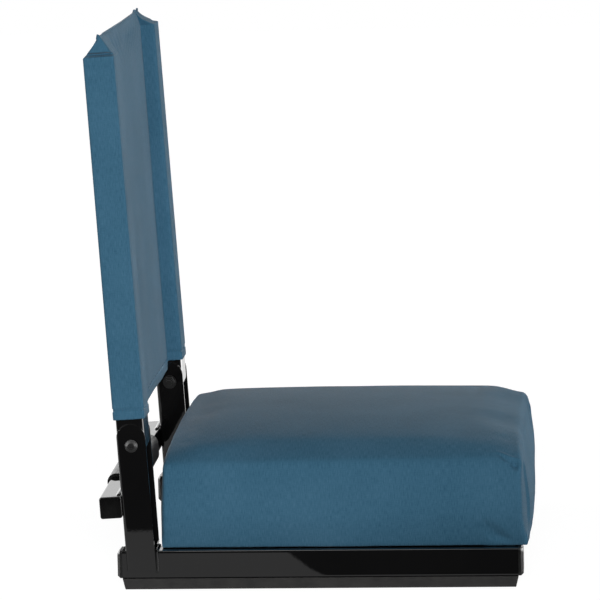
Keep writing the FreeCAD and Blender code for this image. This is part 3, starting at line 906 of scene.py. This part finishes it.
def shaped_cover(x, back, rise):
    """A point of the straight tube, moved to the sewn shape."""
    side = 1 if x > 0 else -1
    climb = min(max((rise - SHOULDER_RISE) / (RIDGE_RISE - SHOULDER_RISE), 0), 1)
    height = (rise - HEM_RISE) / (SHOULDER_RISE - HEM_RISE)
    sheet = 1 - share(abs(x), SLEEVE_INNER - SLEEVE_TURN[0], SLEEVE_INNER - SLEEVE_TURN[1])
    loose = sheet
    if rise > SHOULDER_RISE:
        loose = max(sheet, 1 - share(abs(x), COVER_HALF - LOOSE_END[0], COVER_HALF - LOOSE_END[1]))
    in_front = back < COVER_BACK / 2
    if back < 0:
        back += SLEEVE_TAPER * height
    back += sheet * SHEET_RIPPLE * noise.noise((x * 16, rise * 6, back * 40)) * (1 - climb)
    if in_front:
        back -= loose * slanting_folds(x, rise)
    back *= (1 - climb) ** (HIP[side] if in_front else REAR_HIP)
    if side > 0:
        back += RIDGE_SHIFT * climb * x / COVER_HALF
    crease = CREASE_DEPTH * bump_at(rise, SHOULDER_RISE + CREASE_RISE, CREASE_HALF)
    crease *= share(abs(x), COVER_HALF - CREASE_RUN[0], COVER_HALF - CREASE_RUN[1])
    inset = RIDGE_INSET[side] * climb * share(abs(x), SLEEVE_INNER - RIDGE_PULL, COVER_HALF)
    x -= side * (inset + crease)
    from_end = COVER_HALF - RIDGE_INSET[side] - abs(x)
    tips = bump_at(from_end, 0, EAR_HALF)
    if side > 0:
        second = SECOND_TIP * bump_at(from_end, NOTCH, SECOND_HALF)
        tips += second - bump_at(from_end, NOTCH / 2, NOTCH_HALF)
    low = 1 - share(height, 0, HEM_DROP_END)
    rise -= low * (SHEET_HEM_DROP * sheet + FAR_HEM_DROP * share(x, -COVER_HALF, COVER_HALF))
    rise += EAR * tips * climb ** 4 - RIDGE_TILT * climb * x / COVER_HALF
    return x, back, rise


def on_hem_seam(rise):
    """Whether a ring at this height is the seam of the hem."""
    return abs(rise - HEM_RISE - HEM_WIDTH) < 0.1 * HEM_WIDTH


cover_uv = cover_bm.loops.layers.uv.new("cloth")
for face in cover_bm.faces:
    runs = [loop.vert[around_layer] for loop in face.loops]
    for loop in face.loops:
        run = loop.vert[around_layer]
        if max(runs) - run > cover_round / 2:
            run += cover_round
        loop[cover_uv].uv = (run, loop.vert.co.z)
seams = []
for vert in cover_bm.verts:
    x, back, rise = vert.co
    side_seam = abs(x) > COVER_HALF - TOLERANCE and abs(back - COVER_FRONT - COVER_CORNER) < TOLERANCE
    front_seam = back < COVER_FRONT + TOLERANCE and abs(COVER_HALF - COVER_CORNER - abs(x)) < TOLERANCE
    if (side_seam or front_seam) and rise < SHOULDER_RISE or on_hem_seam(rise):
        seams.append(vert)
    vert.co = at_hinge(*shaped_cover(x, back, rise))
bmesh.ops.recalc_face_normals(cover_bm, faces=cover_bm.faces[:])
cover_bm.normal_update()
for vert in seams:
    vert.co -= vert.normal * SEAM_DEPTH
hem_ring = [v for v in cover_bm.verts if on_hem_seam(v[drawn_layer])]
hem_ring.sort(key=lambda v: v[around_layer])
hem_line = [(v.co.copy(), v.normal.copy()) for v in hem_ring]
cover = piece("backrest_cover", cover_bm, cloth, "backrest")
wall = cover.modifiers.new("wall", "SOLIDIFY")
wall.thickness = CLOTH_THICK
wall.offset = -1
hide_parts("back_sleeve_left", "back_sleeve_right", "back_panel")

# %% [markdown]
# A row of stitches holds the hem. Each stitch is a small ball drawn out along the seam, nearly
# half sunk in the cloth.

# %% Hem stitches
STITCH_PITCH = 4.2 * MM
STITCH_LENGTH = 3.0 * MM
STITCH_THICK = 0.55 * MM
STITCH_STAND = 0.1  # share of its thickness that lifts a stitch off the cloth


def stitch(bm, place, along, normal):
    """One stitch along the seam."""
    side = normal.cross(along).normalized()
    turn = Matrix((along.normalized(), side, normal)).transposed().to_4x4()
    size = Vector((STITCH_LENGTH / 2, STITCH_THICK / 2, STITCH_THICK / 2))
    shape = Matrix.LocRotScale(None, None, size)
    bmesh.ops.create_uvsphere(bm, u_segments=6, v_segments=4, radius=1,
                              matrix=Matrix.Translation(place) @ turn @ shape)


bm = bmesh.new()
gone = 0.0
for (start, normal), (end, _) in zip(hem_line, hem_line[1:] + hem_line[:1]):
    gone += (end - start).length
    if gone > STITCH_PITCH:
        gone -= STITCH_PITCH
        stitch(bm, end + normal * STITCH_STAND * STITCH_THICK, end - start, normal)
piece("hem_stitches", bm, cloth_thread, "backrest")

# %% [markdown]
# The uprights and the handle bar are welded on. A weld bead is a row of overlapping drops, so each bead
# is a row of balls of slightly different sizes along a line.

# %% Weld beads
BEAD_RADIUS = 2.0 * MM
BEAD_PITCH = 1.9 * MM
BEAD_UNEVEN = 0.12
BEAD_STAND = 0.2  # how far its middle lies in front of the upright, as a share of the radius
BAR_BEAD = 0.97  # the bead on the handle bar stays inside the upright's walls


def bead(bm, start, end):
    """A weld bead from start to end."""
    for place in spaced(0, 1, BEAD_PITCH / (end - start).length):
        wander = BEAD_UNEVEN * noise.noise(start.lerp(end, place) * 400)
        bmesh.ops.create_icosphere(bm, subdivisions=2, radius=BEAD_RADIUS * (1 + wander),
                                   matrix=Matrix.Translation(start.lerp(end, place)))


bm = bmesh.new()
for side in ("left", "right"):
    ear_low, ear_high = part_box("upright_" + side)
    rail_low, rail_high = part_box("rail_" + side)
    out = math.copysign(1, ear_low.x + ear_high.x)
    rail_out = rail_high.x if out > 0 else rail_low.x
    rail_in = rail_low.x if out > 0 else rail_high.x
    foot = ear_low.y - BEAD_STAND * BEAD_RADIUS
    bead(bm, Vector((rail_out, foot, ear_low.z)), Vector((rail_out, foot, rail_high.z)))
    bead(bm, Vector((rail_out, foot, rail_high.z)), Vector((rail_in, foot, rail_high.z)))
    bar_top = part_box("handle_bar")[1].z
    bead(bm, Vector((BAR_BEAD * ear_low.x, ear_high.y, bar_top)),
         Vector((BAR_BEAD * ear_high.x, ear_high.y, bar_top)))
piece("weld_beads", bm, coat, "base")

# %% [markdown]
# The picture has a white background and soft light. The seat stands on a white floor. A brighter sheet
# lies under the seat, and its curved edge shows in the gloss black frame: the foot of the upright and
# the rear of the rail are grey, and the rest is black, because the studio behind the camera is dim.
# A strip light in front of the seat and a brighter floor on its far side show in the gloss too.

# %% Floor
FLOOR_REACH = 6.0
FLOOR_SHINE = 0.62  # how bright the sheet is in reflections
FLOOR_DIM = 0.03  # and how bright the floor beside it is
FLOOR_BOUNCE = 0.12
FLOOR_GAP = 0.4 * MM  # from the floor to the runners
SHEET_BLUR = 0.006
SHEET_TURN = (-0.02, 0.09)  # along the seat, where the edge of the sheet turns
SHEET_EDGE = (-0.245, -0.475)  # across the seat, the edge in front of the turn and behind it
SHEET_FRONT_END = (-0.3, -0.24)  # along the seat, where a second sheet starts in front of it
FAR_FLOOR = (0.2, 0.4)  # across the seat, where the lit wall brightens the floor
FAR_SHINE = 2.0
FRONT_STRIP = (-0.62, -0.5)  # along the seat, where a strip light lies in front of it
STRIP_SHINE = 8.0
FLOOR_NEAR = (0.5, 1.2)  # the floor looks pure white from the second distance on
NEAR_GLOW = 0.95  # how white it is near the seat without the light that falls on it
FLOOR_PALE = 0.15  # its share of that light, which draws the shadow


def white_floor():
    finish = Finish("white_floor", Roughness=1.0, Specular_IOR_Level=0.0,
                    Base_Color=(FLOOR_BOUNCE, FLOOR_BOUNCE, FLOOR_BOUNCE, 1))
    place = finish.object_place()
    split = finish.add("SeparateXYZ")
    finish.join(place, split.inputs[0])
    across, along = split.outputs["X"], split.outputs["Y"]

    def remap(value, low, high, start, stop):
        node = finish.add("MapRange", interpolation_type="SMOOTHSTEP")
        for socket, number in (("From Min", low), ("From Max", high), ("To Min", start), ("To Max", stop)):
            node.inputs[socket].default_value = number
        finish.join(value, node.inputs["Value"])
        return node.outputs["Result"]

    def mixed(factor, first, second):
        node = finish.add("MixShader")
        for socket, output in zip(node.inputs, (factor, first.outputs[0], second.outputs[0])):
            finish.join(output, socket)
        return node

    inside = finish.calculate("SUBTRACT", across, remap(along, *SHEET_TURN, *SHEET_EDGE))
    sheet = remap(inside, -SHEET_BLUR, SHEET_BLUR, FLOOR_DIM, FLOOR_SHINE)
    front_sheet = remap(along, *SHEET_FRONT_END, FLOOR_SHINE, FLOOR_DIM)
    sheets = finish.calculate("MAXIMUM", sheet, front_sheet)
    strip = finish.calculate("MAXIMUM", sheets, remap(along, *FRONT_STRIP, STRIP_SHINE, 0.0))
    strength = finish.calculate("MULTIPLY", strip, remap(across, *FAR_FLOOR, 1.0, FAR_SHINE))
    shine = finish.add("Emission")
    finish.join(strength, shine.inputs["Strength"])
    reach = finish.add("VectorMath", operation="LENGTH")
    finish.join(place, reach.inputs[0])
    glow = finish.add("Emission")
    finish.join(remap(reach.outputs["Value"], *FLOOR_NEAR, NEAR_GLOW, 1.0), glow.inputs["Strength"])
    pale = finish.add("BsdfDiffuse", Color=(FLOOR_PALE, FLOOR_PALE, FLOOR_PALE, 1))
    seen = finish.add("AddShader")
    finish.join(glow.outputs[0], seen.inputs[0])
    finish.join(pale.outputs[0], seen.inputs[1])
    path = finish.add("LightPath")
    mirrored = mixed(path.outputs["Is Glossy Ray"], finish.shader, shine)
    final = mixed(path.outputs["Is Camera Ray"], mirrored, seen)
    finish.join(final.outputs[0], finish.nodes["Material Output"].inputs["Surface"])
    return finish.material


bm = bmesh.new()
bmesh.ops.create_grid(bm, x_segments=1, y_segments=1, size=FLOOR_REACH)
bmesh.ops.translate(bm, verts=bm.verts, vec=(0, 0, -FLOOR_GAP))
floor_mesh = bpy.data.meshes.new("floor")
bm.to_mesh(floor_mesh)
bm.free()
floor_mesh.materials.append(white_floor())
floor = bpy.data.objects.new("floor", floor_mesh)
scene.collection.objects.link(floor)

# %% [markdown]
# The world is white to the camera. It lights the cloth like a white wall behind the seat, with a dim
# room on the camera's side and a dim ceiling. In the gloss it is dark behind the camera, with strip
# lights beside and over the seat and a pale wall behind it, so the flat steel is black and its round
# edges shine.

# %% World
ROOM_DARK = 0.03
ROOM_WALL = 0.6
ROOM_CEILING = 0.05
GLOSS_DARK = 0.02
GLOSS_PALE = 1.3
GLOSS_BAND = 9.0  # strip lights beside the seat, between the camera and the wall
GLOSS_OVERHEAD = 5.0  # and the same over it
WALL_EDGE = (-0.3, 0.2)  # across the seat, from the dim room to the wall, in the direction seen
CEILING_EDGE = (0.12, 0.42)  # upwards, from the walls to the ceiling
BAND_EDGE = (-0.35, 0.05)  # across, from the dark to the strip lights
OVERHEAD_EDGE = (0.5, 0.85)  # upwards, from the lights beside the seat to those over it
PALE_EDGE = (0.8, 0.93)  # across, from the strip lights to the pale wall
world = bpy.data.worlds.new("studio")
scene.world = world
world.use_nodes = True
nodes, links = world.node_tree.nodes, world.node_tree.links
nodes.clear()
place = nodes.new("ShaderNodeTexCoord")
split = nodes.new("ShaderNodeSeparateXYZ")
links.new(place.outputs["Generated"], split.inputs[0])
path = nodes.new("ShaderNodeLightPath")


def world_ramp(axis, low, high, dark, bright):
    """From dark to bright between two places on an axis of the direction seen."""
    remap = nodes.new("ShaderNodeMapRange")
    remap.interpolation_type = "SMOOTHSTEP"
    for socket, value in (("From Min", low), ("From Max", high), ("To Min", dark), ("To Max", bright)):
        remap.inputs[socket].default_value = value
    links.new(split.outputs[axis], remap.inputs["Value"])
    return remap.outputs["Result"]


def world_mix(factor, first, second):
    """Mix of two outputs or plain numbers."""
    mix = nodes.new("ShaderNodeMix")
    mix.data_type = "FLOAT"
    for socket, value in (("Factor", factor), ("A", first), ("B", second)):
        if isinstance(value, float):
            mix.inputs[socket].default_value = value
        else:
            links.new(value, mix.inputs[socket])
    return mix.outputs["Result"]


lit_wall = world_ramp("X", *WALL_EDGE, ROOM_DARK, ROOM_WALL)
room = world_mix(world_ramp("Z", *CEILING_EDGE, 1.0, 0.0), ROOM_CEILING, lit_wall)
beside = world_ramp("X", *BAND_EDGE, GLOSS_DARK, GLOSS_BAND)
overhead = world_ramp("X", *BAND_EDGE, GLOSS_DARK, GLOSS_OVERHEAD)
band = world_mix(world_ramp("Z", *OVERHEAD_EDGE, 0.0, 1.0), beside, overhead)
gloss = world_mix(world_ramp("X", *PALE_EDGE, 0.0, 1.0), band, GLOSS_PALE)
light = world_mix(path.outputs["Is Glossy Ray"], room, gloss)
background = nodes.new("ShaderNodeBackground")
links.new(world_mix(path.outputs["Is Camera Ray"], light, 1.0), background.inputs["Color"])
output = nodes.new("ShaderNodeOutputWorld")
links.new(background.outputs[0], output.inputs["Surface"])
print("world of", len(nodes), "nodes")

# %% [markdown]
# Four softboxes light the cloth: the key beside the camera, one from the front of the seat, a weak one
# high behind it, from which the backrest keeps its shadow on the rear of the cushion, and one for the
# back.


# %% Lamps
def softbox(name, place, target, size, power):
    """An area lamp at a place, aimed at a target, with its size in metres and power in watts."""
    data = bpy.data.lights.new(name, "AREA")
    data.shape = "RECTANGLE"
    data.size, data.size_y = size
    data.energy = power
    lamp = bpy.data.objects.new(name, data)
    scene.collection.objects.link(lamp)
    aim = (Vector(target) - Vector(place)).to_track_quat("-Z", "Y")
    lamp.matrix_world = Matrix.LocRotScale(Vector(place), aim, None)
    return lamp


key = softbox("key_softbox", (-2.75, -0.18, 0.75), (0, 0.25, 0.3), (0.7, 0.7), 6.5)
key.data.spread = math.radians(55)  # a grid, so the light falls off to the front
key.visible_camera = False
key.visible_glossy = False  # or it would draw a white line along every rounded edge
softbox("front_softbox", (0.3, -2.7, 0.8), (0, 0, 0.25), (1.2, 1.2), 31)
softbox("rear_softbox", (-0.2, 1.3, 1.9), (0, -0.1, 0.12), (1.2, 0.8), 4.5)
softbox("back_softbox", (0.4, 2.9, 0.7), (0, 0.1, 0.3), (1.2, 1.0), 16)
print("four softboxes")
